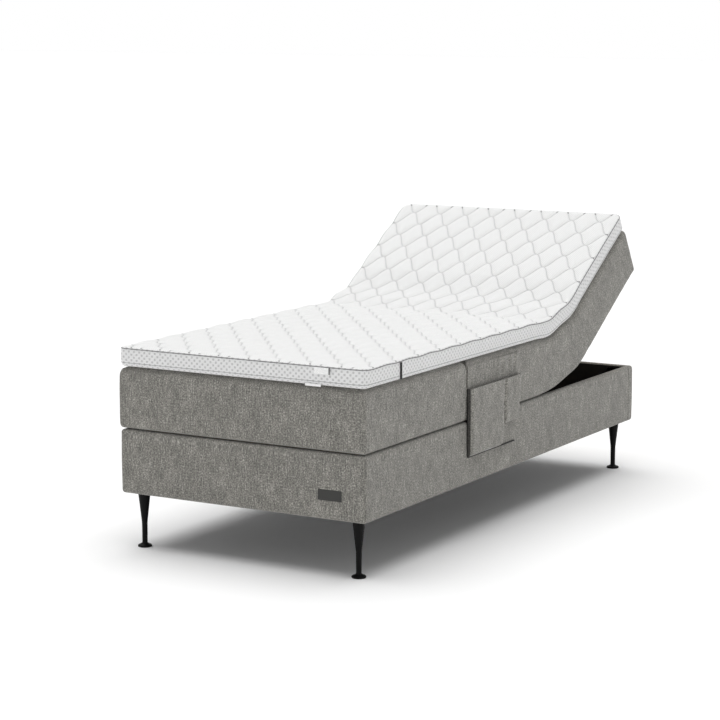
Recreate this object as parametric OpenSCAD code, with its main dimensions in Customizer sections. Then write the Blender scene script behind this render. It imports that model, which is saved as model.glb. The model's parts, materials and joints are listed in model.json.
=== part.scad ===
// Adjustable single bed: an upholstered box on four legs, a flexing upholstered mattress
// block whose head end and knee rise, a quilted topper, and the lifting gear inside the box.
// X runs across the bed, Y towards the head end, Z up from the floor. Millimetres.

/* [Bed] */
// Width of the bed, over the covers
bed_w = 900; // [800:10:1400]
// Length of the bed, over the covers
bed_l = 2000; // [1960:10:2400]
// Height of the legs, from the floor to the box
leg_h = 180; // [120:5:240]

/* [Box] */
// Height of the upholstered box
box_h = 207; // [200:1:260]
// Thickness of the upholstery cover and its wadding
cover_t = 6; // [4:0.5:10]
// Part of the cover that wraps over the top and under the bottom of the rails
cover_wrap_t = 4; // [3:0.5:6]
// Thickness of the timber rails
rail_t = 22; // [18:1:28]
// Thickness of the inner lining
lining_t = 2; // [1:0.5:3]
// Side of the square corner blocks that take the legs
corner_block = 66; // [58:1:90]
// Height of the corner blocks
corner_block_h = 140; // [80:5:150]
// Distance from the box edge to a leg's centre
leg_inset = 52.5; // [48:0.5:60]

/* [Legs] */
// Radius at the top of a leg
leg_top_r = 19; // [15:0.5:24]
// Radius of the slim lower part of a leg
leg_slim_r = 7.75; // [6:0.25:12]
// Length of the tapering upper part of a leg
leg_taper_l = 95; // [60:5:100]
// Radius of the flared foot of a leg
glide_r = 22.5; // [16:0.5:30]
// Height of the flared foot
glide_h = 12; // [8:1:16]
// Radius of the leg bolt
bolt_r = 5; // [4:0.5:6]
// Length of the leg bolt above the leg
bolt_l = 45; // [30:1:60]

/* [Mattress] */
// Clearance between the box and the mattress block
block_gap = 3; // [1:0.5:5]
// Height of the mattress block
block_h = 199; // [160:1:220]
// Length of the separate foot block
foot_l = 650; // [600:5:680]
// Slit between the foot block and the rest, at the knee
knee_slit = 6; // [4:0.5:10]
// Height of the topper
topper_h = 63; // [40:1:80]
// Clearance between the topper and the block
topper_gap = 1; // [0.5:0.5:3]
// Radius of the long edges of the block
block_edge_r = 20; // [10:1:30]
// Radius of the long edges of the topper
topper_edge_r = 12; // [5:1:18]

/* [Bending] */
// Depth of the bending line under the top of the block
bend_depth = 38; // [30:1:60]
// Place of the thigh bend along the bed, from the middle
thigh_bend_y = 30; // [10:1:60]
// Place of the first back bend along the bed, from the middle
back_bend_y = 282; // [270:1:300]
// Distance between the two back bends
back_bend_step = 190; // [180:1:200]
// Angle of each back bend in the resting position
back_rest = 15.75; // [0:0.25:25]
// Largest angle of each back bend
back_max = 25; // [20:0.5:26]
// Largest angle of the thigh bend
thigh_max = 25; // [15:0.5:25]
// Clearance between two soft segments that meet at a bend
seam_gap = 1; // [0.6:0.1:2]

/* [Boards] */
// Thickness of the boards under the mattress
board_t = 18; // [12:1:20]
// Clearance between a board's edge and the lining
board_side_gap = 10; // [6:1:20]
// Height of the crossbars under the seat board
crossbar_h = 42; // [30:1:44]
// Width of a crossbar
crossbar_w = 40; // [30:1:60]
// Width of the ledges that the boards rest on
ledge_w = 18; // [12:1:24]
// Height of the ledges
ledge_h = 31; // [20:1:32]

/* [Lifting gear] */
// Height of the lift shafts below the boards
shaft_drop = 72; // [70:1:76]
// Radius of the lift shafts
shaft_r = 15; // [12:0.5:18]
// Place of the back lift shaft along the bed
back_shaft_y = 260; // [255:1:265]
// Place of the leg lift shaft along the bed
leg_shaft_y = -60; // [-70:1:-50]
// Length of a back lift arm, shaft to shoe
back_arm_l = 460; // [450:1:465]
// Length of a leg lift arm, shaft to shoe
leg_arm_l = 200; // [180:1:220]
// Turn of the back lift for each degree of one back bend
back_lift_ratio = 1.05; // [1:0.01:1.1]
// Turn of the leg lift for each degree of the thigh bend
leg_lift_ratio = 1.15; // [1:0.01:1.2]
// Radius of a lift shoe
shoe_r = 14; // [12:0.5:16]
// Clearance between a shoe and its rail
shoe_gap = 0.5; // [0.3:0.1:1]
// Least thickness of a lift rail
rail_min = 6; // [4:0.5:10]
// Distance from the middle of the bed to a lift arm
arm_x = 150; // [130:5:200]
// Length of a lever, from the shaft to its thrust pin
lever_l = 85; // [82:1:86]
// Radial running clearance of shafts and pins in their bores
run_gap = 0.08; // [0.04:0.01:0.1]

/* [Pocket and handset] */
// Width of the side pocket panel
pocket_w = 366; // [340:2:370]
// Lowest edge of the pocket panel above the floor
pocket_z = 262; // [250:1:300]
// Height of the large pocket
pocket_h = 235; // [180:5:240]
// Thickness of the pocket fabric
pocket_t = 2.6; // [1.5:0.1:3]
// Depth of the pocket, inside
pocket_depth = 13.4; // [13:0.1:16]
// Width of the small pocket
small_pocket_w = 118; // [80:1:120]
// Width of the handset
handset_w = 46; // [40:1:60]
// Length of the handset
handset_l = 135; // [100:1:160]
// Thickness of the handset
handset_t = 10.5; // [10:0.1:11]
// Travel of a handset button
button_travel = 0.8; // [0.4:0.1:1]

/* [Hidden] */
$fn = 64;
// how far a cut reaches past the surface it opens
over = 1;
box_z0 = leg_h;
box_z1 = box_z0 + box_h;
block_z0 = box_z1 + block_gap;
block_z1 = block_z0 + block_h;
topper_z0 = block_z1 + topper_gap;
topper_z1 = topper_z0 + topper_h;
bend_z = block_z1 - bend_depth;
board_z0 = block_z0 - board_t;
half_w = bed_w / 2;
half_l = bed_l / 2;
rail_out_x = half_w - cover_t;
rail_in_x = rail_out_x - rail_t;
rail_out_y = half_l - cover_t;
rail_in_y = rail_out_y - rail_t;
rail_z0 = box_z0 + cover_wrap_t;
rail_z1 = box_z1 - cover_wrap_t;
lining_x = rail_in_x - lining_t;
leg_x = half_w - leg_inset;
leg_y = half_l - leg_inset;
board_x = lining_x - board_side_gap;
knee_y = -half_l + foot_l;
hip_bend_y = back_bend_y + back_bend_step;
rest_gap = 0.3;
fit_gap = 0.5;
// legs
insert_wall = 3;
insert_r = bolt_r + insert_wall;
insert_h = 30;
glide_rim_h = 4;
glide_neck = 2;
// box
dust_cover_t = 2;
badge_w = 84;
badge_t = 2;
badge_h = 34;
badge_edge = 81;
badge_rise = 60;
// half-angles left open between the soft segments, above the bending line
cut_spare = 0.3;
back_cut = back_max / 2 + cut_spare;
thigh_cut = thigh_max / 2 + cut_spare;
seam = seam_gap / 2;
// boards
head_board_end = 40;
foot_board_end = 75;
back_board_y0 = hip_bend_y + 33;
hip_board_y0 = back_bend_y + 18;
hip_board_y1 = hip_bend_y - 17;
arm_slot = 20;
crossbar_ys = [thigh_bend_y + 30, back_bend_y - 62];
// lifting gear
shaft_z = board_z0 - shaft_drop;
shaft_end_gap = 2;
hub_wall = 6;
arm_h = 18;
arm_t = 8;
tie_r = 7;
tie_share = 0.3;
shoe_w = 24;
lift_rail_w = 30;
rail_groove_gap = 2;
rail_web = 4;
rail_steps = 10;
rail_over = 12;
shoe_drop = shaft_drop - rail_min - shoe_r - shoe_gap;
back_arm_a0 = asin(shoe_drop / back_arm_l);
leg_arm_a0 = asin(shoe_drop / leg_arm_l);
back_arm_angle = back_arm_a0 + back_lift_ratio * back_rest;
bearing_l = 22;
bearing_side = 26;
bearing_top = 24;
bearing_in_x = lining_x - bearing_l;
pin_r = 5;
lever_t = 6;
lever_x = 14;
lever_w = 28;
lever_slot_gap = 0.8;
lever_slot_half = 4;
pin_z = shaft_z - lever_l;
back_lever_a0 = -back_lift_ratio * back_max / 2;
leg_lever_a0 = -leg_lift_ratio * thigh_max / 2;
back_lever_angle = back_lever_a0 + back_lift_ratio * back_rest;
// drive unit
drive_half_w = 75;
drive_wall = 4;
drive_reach = 80;
drive_below = 24;
drive_above = 18;
drive_z0 = pin_z - drive_below;
drive_z1 = shaft_z - 38;
drive_split_z = pin_z + drive_above;
drive_y0 = leg_shaft_y - drive_reach;
drive_y1 = back_shaft_y + drive_reach;
drive_mid_y = (leg_shaft_y + back_shaft_y) / 2;
slot_x = lever_x + lever_t + 6;
slot_y = 44;
hanger_x = 54;
hanger_t = 8;
hanger_w = 48;
hanger_top = 22;
spindle_r = 6;
nut_l = 36;
nut_h = 24;
nut_side_gap = 1;
pin_proud = 3;
motor_l = 40;
motor_side_gap = 5;
gear_case_w = 40;
gear_case_top = 24;
motor_r = 18;
motor_out = 43;
motor_body_l = 46;
inlet_w = 30;
inlet_h = 22;
inlet_wall_y = 4;
inlet_wall_z = 5;
inlet_proud = 2;
inlet_in = 12;
inlet_socket = 12;
inlet_y = drive_mid_y + inlet_w;
inlet_z = drive_z0 + 10;
// knee hinges
hinge_r = 6;
hinge_pin_r = 3;
hinge_z = board_z0 - 9;
hinge_leaf_t = 3;
hinge_leaf_l = 55;
hinge_leaf_w = 90;
hinge_pin_l = 86;
hinge_out = 260;
hinge_xs = [-hinge_out, 0, hinge_out];
knuckle_l = 28;
knuckle_gap = 1;
// pocket
pocket_off = 0.4;
pocket_x0 = half_w + pocket_off;
pocket_y0 = knee_y + knee_slit / 2 + 1;
pocket_y1 = pocket_y0 + pocket_w;
pocket_top = block_z1 - block_edge_r;
pocket_split_y = pocket_y1 - small_pocket_w - 4;
small_pocket_h = 155;
// handset
handset_side_gap = 0.8;
handset_x0 = pocket_x0 + pocket_t + handset_side_gap;
handset_y = pocket_y0 + 130;
handset_z0 = pocket_z + pocket_t + 12;
handset_wall = 1.5;
button_w = 26;
button_h = 14;
button_in = 3;
button_gap = 0.3;
button_pitch = 22;
button_proud = 1;
button_row_z = handset_z0 + handset_l - 30;

// ---- helpers ----

// A box given by its lowest and highest corners
module block(lo, hi) {
    translate(lo) cube(hi - lo);
}

// Runs the children, and the same mirrored across the bed
module both_sides() {
    children();
    mirror([1, 0, 0]) children();
}

// Runs the children, and the same mirrored along the bed
module both_ends() {
    children();
    mirror([0, 1, 0]) children();
}

// A bar with a side outline in Y and Z, of a width across the bed, centred on x
module side_plate(width, x = 0) {
    translate([x, 0, 0]) rotate([90, 0, 90]) linear_extrude(width, center = true) children();
}

// A round bar across the bed
module cross_rod(r, length, y, z, x = 0) {
    translate([x, y, z]) rotate([0, 90, 0]) cylinder(r = r, h = length, center = true);
}

// Turns the children about a line across the bed
module turned(y, z, angle) {
    translate([0, y, z]) rotate([angle, 0, 0]) translate([0, -y, -z]) children();
}

// Puts parts drawn flat into the resting position of the first back bend
module at_hip() {
    turned(back_bend_y, bend_z, back_rest) children();
}

// Puts parts drawn flat into the resting position beyond both back bends
module at_back() {
    at_hip() turned(hip_bend_y, bend_z, back_rest) children();
}

// ---- soft segments ----

// How far a segment's end leans back at a height
function lean(z, angle) = z > bend_z ? (z - bend_z) * tan(angle) : 0;

// Side outline of a soft segment, with its ends cut for bending
function segment(y0, y1, z0, z1, cut0, cut1) = concat(
    [[y0 + lean(z0, cut0), z0], [y1 - lean(z0, cut1), z0]],
    z0 < bend_z ? [[y1, bend_z]] : [],
    [[y1 - lean(z1, cut1), z1], [y0 + lean(z1, cut0), z1]],
    z0 < bend_z ? [[y0, bend_z]] : []
);

// Rounded cross-section of a soft piece in X and Z
module soft_section(z0, z1, r) {
    translate([-half_w + r, z0]) square([bed_w - 2 * r, z1 - z0]);
    translate([-half_w, z0 + r]) square([bed_w, z1 - z0 - 2 * r]);
    for (x = [-half_w + r, half_w - r], z = [z0 + r, z1 - r]) translate([x, z]) circle(r);
}

// A soft segment between two bends or ends
module soft_segment(y0, y1, z0, z1, cut0, cut1, r) {
    intersection() {
        side_plate(bed_w + 2 * over) polygon(segment(y0, y1, z0, z1, cut0, cut1));
        translate([0, half_l + over, 0]) rotate([90, 0, 0])
            linear_extrude(bed_l + 2 * over) soft_section(z0, z1, r);
    }
}

module block_segment(y0, y1, cut0, cut1) {
    color("#87847c") soft_segment(y0, y1, block_z0, block_z1, cut0, cut1, block_edge_r);
}

module topper_segment(y0, y1, cut0, cut1) {
    color("#f2f2f0") soft_segment(y0, y1, topper_z0, topper_z1, cut0, cut1, topper_edge_r);
}

module block_foot() {
    block_segment(-half_l, knee_y - knee_slit / 2, 0, 0);
}

module block_thigh() {
    block_segment(knee_y + knee_slit / 2, thigh_bend_y - seam, 0, thigh_cut);
}

module block_seat() {
    block_segment(thigh_bend_y + seam, back_bend_y - seam, thigh_cut, back_cut);
}

module block_hip() {
    at_hip() block_segment(back_bend_y + seam, hip_bend_y - seam, back_cut, back_cut);
}

module block_back() {
    at_back() block_segment(hip_bend_y + seam, half_l, back_cut, 0);
}

module topper_foot() {
    topper_segment(-half_l, knee_y - seam, 0, 0);
}

module topper_thigh() {
    topper_segment(knee_y + seam, thigh_bend_y - seam, 0, thigh_cut);
}

module topper_seat() {
    topper_segment(thigh_bend_y + seam, back_bend_y - seam, thigh_cut, back_cut);
}

module topper_hip() {
    at_hip() topper_segment(back_bend_y + seam, hip_bend_y - seam, back_cut, back_cut);
}

module topper_back() {
    at_back() topper_segment(hip_bend_y + seam, half_l, back_cut, 0);
}

// ---- box ----

module side_rails() {
    color("#c8a878") both_sides()
        block([rail_in_x, -rail_out_y, rail_z0], [rail_out_x, rail_out_y, rail_z1]);
}

module end_rails() {
    color("#c8a878") both_ends()
        block([-rail_in_x, rail_in_y, rail_z0], [rail_in_x, rail_out_y, rail_z1]);
}

// Places children on the line of each leg
module at_legs() {
    for (x = [-leg_x, leg_x], y = [-leg_y, leg_y]) translate([x, y, 0]) children();
}

module corner_blocks() {
    color("#b8976a") difference() {
        both_sides() both_ends()
            block([rail_in_x - corner_block, rail_in_y - corner_block, rail_z0],
                  [rail_in_x, rail_in_y, rail_z0 + corner_block_h]);
        at_legs() translate([0, 0, rail_z0 - over]) cylinder(r = insert_r, h = bolt_l + 2 * over);
    }
}

// Upholstery of one long side, wrapped over and under the rail
module side_cover() {
    difference() {
        block([rail_in_x, -half_l, box_z0], [half_w, half_l, box_z1]);
        block([rail_in_x - over, -rail_out_y, rail_z0], [rail_out_x, rail_out_y, rail_z1]);
        for (y = [-half_l - over, rail_out_y])
            block([rail_in_x - over, y, box_z0 - over],
                  [rail_out_x, y + cover_t + over, box_z1 + over]);
    }
}

module cover_left() {
    color("#87847c") mirror([1, 0, 0]) side_cover();
}

module cover_right() {
    color("#87847c") side_cover();
}

// Upholstery of one end, wrapped over and under the rail
module end_cover() {
    difference() {
        union() {
            block([-rail_out_x, rail_out_y, box_z0], [rail_out_x, half_l, box_z1]);
            block([-rail_in_x, rail_in_y, box_z0], [rail_in_x, half_l, box_z1]);
        }
        block([-rail_in_x - over, rail_in_y - over, rail_z0],
              [rail_in_x + over, rail_out_y, rail_z1]);
    }
}

module cover_head() {
    color("#87847c") end_cover();
}

module cover_foot() {
    color("#87847c") mirror([0, 1, 0]) end_cover();
}

module box_lining() {
    gap_x = rail_in_x - corner_block;
    gap_y = rail_in_y - corner_block;
    color("#181818") {
        both_sides() block([lining_x, -gap_y, rail_z0], [rail_in_x, gap_y, rail_z1]);
        both_ends() block([-gap_x, rail_in_y - lining_t, rail_z0], [gap_x, rail_in_y, rail_z1]);
    }
}

module dust_cover() {
    z0 = box_z0 + (cover_wrap_t - dust_cover_t) / 2;
    color("#202020") difference() {
        block([-rail_in_x + fit_gap, -rail_in_y + fit_gap, z0],
              [rail_in_x - fit_gap, rail_in_y - fit_gap, z0 + dust_cover_t]);
        at_legs() translate([0, 0, z0 - over]) cylinder(r = insert_r, h = dust_cover_t + 2 * over);
    }
}

module badge() {
    x1 = half_w - badge_edge;
    z0 = box_z0 + badge_rise;
    color("#4a4a48") block([x1 - badge_w, -half_l - badge_t, z0], [x1, -half_l, z0 + badge_h]);
}

// ---- legs ----

module leg_at(x, y) {
    slim_top = leg_h - leg_taper_l;
    color("#141414") translate([x, y, 0]) rotate_extrude() polygon([
        [0, glide_h], [leg_slim_r, glide_h], [leg_slim_r, slim_top],
        [leg_top_r, leg_h], [0, leg_h]]);
}

module leg_foot_left() {
    leg_at(-leg_x, -leg_y);
}

module leg_foot_right() {
    leg_at(leg_x, -leg_y);
}

module leg_head_left() {
    leg_at(-leg_x, leg_y);
}

module leg_head_right() {
    leg_at(leg_x, leg_y);
}

module leg_glides() {
    color("#101010") at_legs() rotate_extrude() polygon([
        [0, 0], [glide_r, 0], [glide_r, glide_rim_h],
        [leg_slim_r + glide_neck, glide_h], [0, glide_h]]);
}

module leg_bolts() {
    color("#b0b0b0") at_legs() translate([0, 0, leg_h]) cylinder(r = bolt_r, h = bolt_l);
}

module leg_inserts() {
    color("#c0a860") at_legs() difference() {
        translate([0, 0, rail_z0]) cylinder(r = insert_r, h = insert_h);
        translate([0, 0, rail_z0 - over]) cylinder(r = bolt_r, h = insert_h + 2 * over);
    }
}

// ---- boards and supports ----

module board(y0, y1) {
    color("#cfae7c") block([-board_x, y0, board_z0], [board_x, y1, block_z0]);
}

module support_ledges() {
    end_y = rail_in_y - corner_block - fit_gap;
    color("#b8976a") both_sides()
        block([lining_x - ledge_w, -end_y, board_z0 - rest_gap - ledge_h],
              [lining_x, end_y, board_z0 - rest_gap]);
}

module seat_crossbars() {
    reach = lining_x - ledge_w;
    color("#b8976a") for (y = crossbar_ys)
        block([-reach, y - crossbar_w / 2, board_z0 - crossbar_h],
              [reach, y + crossbar_w / 2, board_z0]);
}

module seat_board() {
    board(thigh_bend_y + seam, back_bend_y - seam);
}

module thigh_board() {
    board(knee_y + knee_slit / 2, thigh_bend_y - seam);
}

module calf_board() {
    board(-half_l + foot_board_end, knee_y - knee_slit / 2);
}

// The hip board is in three pieces, so that the lift arms pass between them
module hip_slats() {
    color("#cfae7c") at_hip() difference() {
        block([-board_x, hip_board_y0, board_z0], [board_x, hip_board_y1, block_z0]);
        for (x = [-arm_x, arm_x])
            block([x - arm_slot, back_bend_y, board_z0 - over],
                  [x + arm_slot, hip_bend_y, block_z0 + over]);
    }
}

module back_board() {
    at_back() board(back_board_y0, half_l - head_board_end);
}

// ---- lift rails ----

// A point turned about another, in Y and Z
function turn_point(p, c, a) = [
    c.x + (p.x - c.x) * cos(a) - (p.y - c.y) * sin(a),
    c.y + (p.x - c.x) * sin(a) + (p.y - c.y) * cos(a)];

// Shoe centre seen from the flat back board, when each back bend is at an angle
function back_shoe(a) =
    let (t = back_arm_a0 + back_lift_ratio * a,
         p = [back_shaft_y + back_arm_l * cos(t), shaft_z + back_arm_l * sin(t)],
         q = turn_point(p, [back_bend_y, bend_z], -a))
    turn_point(q, [hip_bend_y, bend_z], -a);

// Shoe centre seen from the flat thigh board, when the thigh bend is at an angle
function leg_shoe(a) =
    let (t = leg_arm_a0 + leg_lift_ratio * a,
         p = [leg_shaft_y - leg_arm_l * cos(t), shaft_z + leg_arm_l * sin(t)])
    turn_point(p, [thigh_bend_y, bend_z], a);

// The way from one point to another, of length 1
function way_to(p, q) = (q - p) / norm(q - p);

// A point beside the line from p to q, on the board's side, at a distance
function beside(at, p, q, d) =
    let (w = way_to(p, q), n = [-w.y, w.x], s = n.y > 0 ? 1 : -1)
    at + s * n * d;

// A point on the rail's straight end, kept under the board
function rail_end(touch, from, to) =
    let (p = touch + way_to(from, to) * rail_over)
    [p.x, min(p.y, board_z0 - rail_web)];

// Side outline of a rail that a shoe stays in touch with: path is the shoe centre's path
module rail_outline(path) {
    last = len(path) - 1;
    d = shoe_r + shoe_gap;
    first_touch = beside(path[0], path[0], path[1], d);
    last_touch = beside(path[last], path[last - 1], path[last], d);
    start = rail_end(first_touch, path[1], path[0]);
    end = rail_end(last_touch, path[last - 1], path[last]);
    polygon(concat(
        [[start.x, board_z0], start, first_touch],
        [for (i = [0 : last - 1]) beside((path[i] + path[i + 1]) / 2, path[i], path[i + 1], d)],
        [last_touch, end, [end.x, board_z0]]));
}

// A pair of rails, each with a groove that the arm runs in between the two halves of its shoe
module lift_rails(path) {
    groove_half = arm_t / 2 + rail_groove_gap;
    ys = [for (p = path) p.x];
    color("#d8d8d4") both_sides() difference() {
        side_plate(lift_rail_w, arm_x) rail_outline(path);
        block([arm_x - groove_half, min(ys) - bed_w, board_z0 - bed_w],
              [arm_x + groove_half, max(ys) + bed_w, board_z0 - rail_web]);
    }
}

module back_lift_rails() {
    at_back() lift_rails([for (i = [0 : rail_steps]) back_shoe(back_max * i / rail_steps)]);
}

module leg_lift_rails() {
    lift_rails([for (i = [0 : rail_steps]) leg_shoe(thigh_max * i / rail_steps)]);
}

// ---- lift frames ----

// A lever that points straight down from the shaft, with a slot for the thrust pin
module lever_outline() {
    slot_r = pin_r + lever_slot_gap;
    difference() {
        union() {
            circle(shaft_r + hub_wall);
            translate([-lever_w / 2, -lever_l]) square([lever_w, lever_l]);
            translate([0, -lever_l]) circle(lever_w / 2);
        }
        for (end = [-lever_slot_half, lever_slot_half])
            translate([0, -lever_l + end]) circle(slot_r);
        translate([-slot_r, -lever_l - lever_slot_half]) square([2 * slot_r, 2 * lever_slot_half]);
    }
}

// An arm from the shaft to the bore of its shoe pin
module arm_outline(arm_l, way) {
    difference() {
        union() {
            circle(shaft_r + hub_wall);
            translate([way > 0 ? 0 : -arm_l, -arm_h / 2]) square([arm_l, arm_h]);
            translate([way * arm_l, 0]) circle(arm_h / 2);
        }
        translate([way * arm_l, 0]) circle(pin_r);
    }
}

// Shaft, two arms, a cross tie and two levers
module lift_frame(arm_l, arm_angle, lever_angle, way) {
    color("#2c2c2e") {
        cross_rod(shaft_r, 2 * (lining_x - shaft_end_gap), 0, 0);
        rotate([way * arm_angle, 0, 0]) {
            both_sides() side_plate(arm_t, arm_x) arm_outline(arm_l, way);
            cross_rod(tie_r, 2 * arm_x - arm_t, way * arm_l * tie_share, 0);
        }
        rotate([way * lever_angle, 0, 0])
            both_sides() side_plate(lever_t, lever_x + lever_t / 2) lever_outline();
    }
}

// Two shoes on pins through the arm ends
module lift_shoes(arm_l, arm_angle, way) {
    color("#e8e6dc") rotate([way * arm_angle, 0, 0]) both_sides() {
        for (side = [-1, 1])
            cross_rod(shoe_r, (shoe_w - arm_t) / 2, way * arm_l, 0,
                arm_x + side * (arm_t + shoe_w) / 4);
        cross_rod(pin_r, shoe_w, way * arm_l, 0, arm_x);
    }
}

module back_lift_frame() {
    translate([0, back_shaft_y, shaft_z]) lift_frame(back_arm_l, back_arm_angle, back_lever_angle, 1);
}

module back_lift_shoes() {
    translate([0, back_shaft_y, shaft_z]) lift_shoes(back_arm_l, back_arm_angle, 1);
}

module leg_lift_frame() {
    translate([0, leg_shaft_y, shaft_z]) lift_frame(leg_arm_l, leg_arm_a0, leg_lever_a0, -1);
}

module leg_lift_shoes() {
    translate([0, leg_shaft_y, shaft_z]) lift_shoes(leg_arm_l, leg_arm_a0, -1);
}

module lift_bearings() {
    color("#d8d8d4") both_sides() for (y = [leg_shaft_y, back_shaft_y]) difference() {
        block([bearing_in_x, y - bearing_side, shaft_z - bearing_side],
              [lining_x, y + bearing_side, shaft_z + bearing_top]);
        cross_rod(shaft_r + run_gap, 2 * (lining_x + over), y, shaft_z);
    }
}

// ---- drive unit ----

module drive_tray() {
    color("#303030") difference() {
        block([-drive_half_w, drive_y0, drive_z0], [drive_half_w, drive_y1, drive_split_z]);
        block([-drive_half_w + drive_wall, drive_y0 + drive_wall, drive_z0 + drive_wall],
              [drive_half_w - drive_wall, drive_y1 - drive_wall, drive_split_z + over]);
        block([-drive_half_w - over, inlet_y - inlet_w / 2, inlet_z],
              [-drive_half_w + drive_wall + over, inlet_y + inlet_w / 2, inlet_z + inlet_h]);
    }
}

module drive_cover() {
    color("#3a3a3a") difference() {
        block([-drive_half_w, drive_y0, drive_split_z], [drive_half_w, drive_y1, drive_z1]);
        block([-drive_half_w + drive_wall, drive_y0 + drive_wall, drive_split_z - over],
              [drive_half_w - drive_wall, drive_y1 - drive_wall, drive_z1 - drive_wall]);
        for (y = [leg_shaft_y, back_shaft_y])
            block([-slot_x, y - slot_y, drive_z1 - drive_wall - over],
                  [slot_x, y + slot_y, drive_z1 + over]);
    }
}

// Plates on the drive unit that hang it from the two shafts
module drive_hangers() {
    color("#303030") both_sides() for (y = [leg_shaft_y, back_shaft_y])
        side_plate(hanger_t, hanger_x) difference() {
            translate([y - hanger_w / 2, drive_z1])
                square([hanger_w, shaft_z + hanger_top - drive_z1]);
            translate([y, shaft_z]) circle(shaft_r + run_gap);
        }
}

// Gear case on the spindle with the motor beside it
module drive_motor(y, way) {
    color("#9a9a98") {
        block([-gear_case_w / 2, y - motor_l / 2, drive_z0 + drive_wall],
              [gear_case_w / 2, y + motor_l / 2, pin_z + gear_case_top]);
        cross_rod(motor_r, motor_body_l, y, pin_z - 1, way * motor_out);
    }
}

module motor_back() {
    drive_motor(drive_mid_y + motor_l / 2 + motor_side_gap, 1);
}

module motor_leg() {
    drive_motor(drive_mid_y - motor_l / 2 - motor_side_gap, -1);
}

module spindles() {
    inner = motor_l + motor_side_gap;
    color("#c4c4c8") {
        spindle(drive_mid_y + inner, drive_y1 - drive_wall);
        spindle(drive_y0 + drive_wall, drive_mid_y - inner);
    }
}

// A spindle from one place along the bed to another
module spindle(y0, y1) {
    translate([0, y0, pin_z]) rotate([-90, 0, 0]) cylinder(r = spindle_r, h = y1 - y0);
}

module mains_inlet() {
    x0 = -drive_half_w - inlet_proud;
    y0 = inlet_y - inlet_w / 2;
    color("#181818") difference() {
        block([x0, y0, inlet_z],
              [-drive_half_w + drive_wall + inlet_in, y0 + inlet_w, inlet_z + inlet_h]);
        block([x0 - over, y0 + inlet_wall_y, inlet_z + inlet_wall_z],
              [x0 + inlet_socket, y0 + inlet_w - inlet_wall_y, inlet_z + inlet_h - inlet_wall_z]);
    }
}

// Thrust block: a nut on the spindle with a pin for each lever
module thrust_block(y) {
    side = lever_x - nut_side_gap;
    color("#d0cfc8") {
        difference() {
            block([-side, y - nut_l / 2, pin_z - nut_h / 2], [side, y + nut_l / 2, pin_z + nut_h / 2]);
            translate([0, y - nut_l, pin_z]) rotate([-90, 0, 0])
                cylinder(r = spindle_r + run_gap, h = 2 * nut_l);
        }
        both_sides() cross_rod(pin_r, lever_t + pin_proud, y, pin_z, side + (lever_t + pin_proud) / 2);
    }
}

module thrust_block_back() {
    thrust_block(back_shaft_y + lever_l * tan(back_lever_angle));
}

module thrust_block_leg() {
    thrust_block(leg_shaft_y - lever_l * tan(leg_lever_a0));
}

// ---- knee hinges ----

// Leaves of the knee hinges on one side, with knuckles at the given places
module knee_leaves(way, knuckle_xs, bore) {
    leaf_y = way * knee_slit / 2;
    y0 = min(knee_y + leaf_y, knee_y + way * hinge_leaf_l);
    y1 = max(knee_y + leaf_y, knee_y + way * hinge_leaf_l);
    for (hx = hinge_xs) difference() {
        union() {
            block([hx - hinge_leaf_w / 2, y0, board_z0 - hinge_leaf_t],
                  [hx + hinge_leaf_w / 2, y1, board_z0]);
            for (x = knuckle_xs) {
                cross_rod(hinge_r, knuckle_l, knee_y, hinge_z, hx + x);
                block([hx + x - knuckle_l / 2, knee_y + min(0, way * hinge_r), hinge_z],
                      [hx + x + knuckle_l / 2, knee_y + max(0, way * hinge_r), board_z0]);
            }
        }
        cross_rod(bore, hinge_leaf_w + 2 * over, knee_y, hinge_z, hx);
    }
}

module knee_leaves_thigh() {
    pitch = knuckle_l + knuckle_gap;
    color("#a8a8a8") knee_leaves(1, [-pitch, pitch], hinge_pin_r);
}

module knee_leaves_calf() {
    color("#a8a8a8") knee_leaves(-1, [0], hinge_pin_r + run_gap);
}

module knee_pins() {
    color("#c8c8c8") for (hx = hinge_xs)
        cross_rod(hinge_pin_r, hinge_pin_l, knee_y, hinge_z, hx);
}

// ---- pocket ----

module pocket_backing() {
    color("#8a877f")
        block([pocket_x0, pocket_y0, pocket_z], [pocket_x0 + pocket_t, pocket_y1, pocket_top]);
}

// A pouch on the backing, open at the top
module pouch(y0, y1, z0, z1) {
    x0 = pocket_x0 + pocket_t;
    x1 = x0 + pocket_depth + pocket_t;
    color("#8a877f") difference() {
        block([x0, y0, z0], [x1, y1, z1]);
        block([x0 - over, y0 + pocket_t, z0 + pocket_t],
              [x1 - pocket_t, y1 - pocket_t, z1 + over]);
    }
}

module pocket_large() {
    pouch(pocket_y0, pocket_split_y, pocket_z, pocket_z + pocket_h);
}

module pocket_small() {
    pouch(pocket_split_y + fit_gap, pocket_y1, pocket_z + pocket_h - small_pocket_h,
        pocket_z + pocket_h);
}

// ---- handset ----

// A key that is wide across the handset, in a row counted down from the top
module button_key(row, grow) {
    z = button_row_z - row * button_pitch;
    half = [button_w / 2 + grow, button_h / 2 + grow];
    block([handset_x0 + handset_t - button_in, handset_y - half.x, z - half.y],
          [handset_x0 + handset_t + button_proud, handset_y + half.x, z + half.y]);
}

module handset_shell() {
    x1 = handset_x0 + handset_t;
    y0 = handset_y - handset_w / 2;
    y1 = handset_y + handset_w / 2;
    color("#d8d8da") difference() {
        block([handset_x0, y0, handset_z0], [x1, y1, handset_z0 + handset_l]);
        block([handset_x0 + handset_wall, y0 + handset_wall, handset_z0 + handset_wall],
              [x1 - handset_wall, y1 - handset_wall, handset_z0 + handset_l - handset_wall]);
        for (row = [0 : 1]) button_key(row, button_gap);
    }
}

module handset_buttons_head() {
    color("#606468") button_key(0, 0);
}

module handset_buttons_legs() {
    color("#606468") button_key(1, 0);
}

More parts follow.
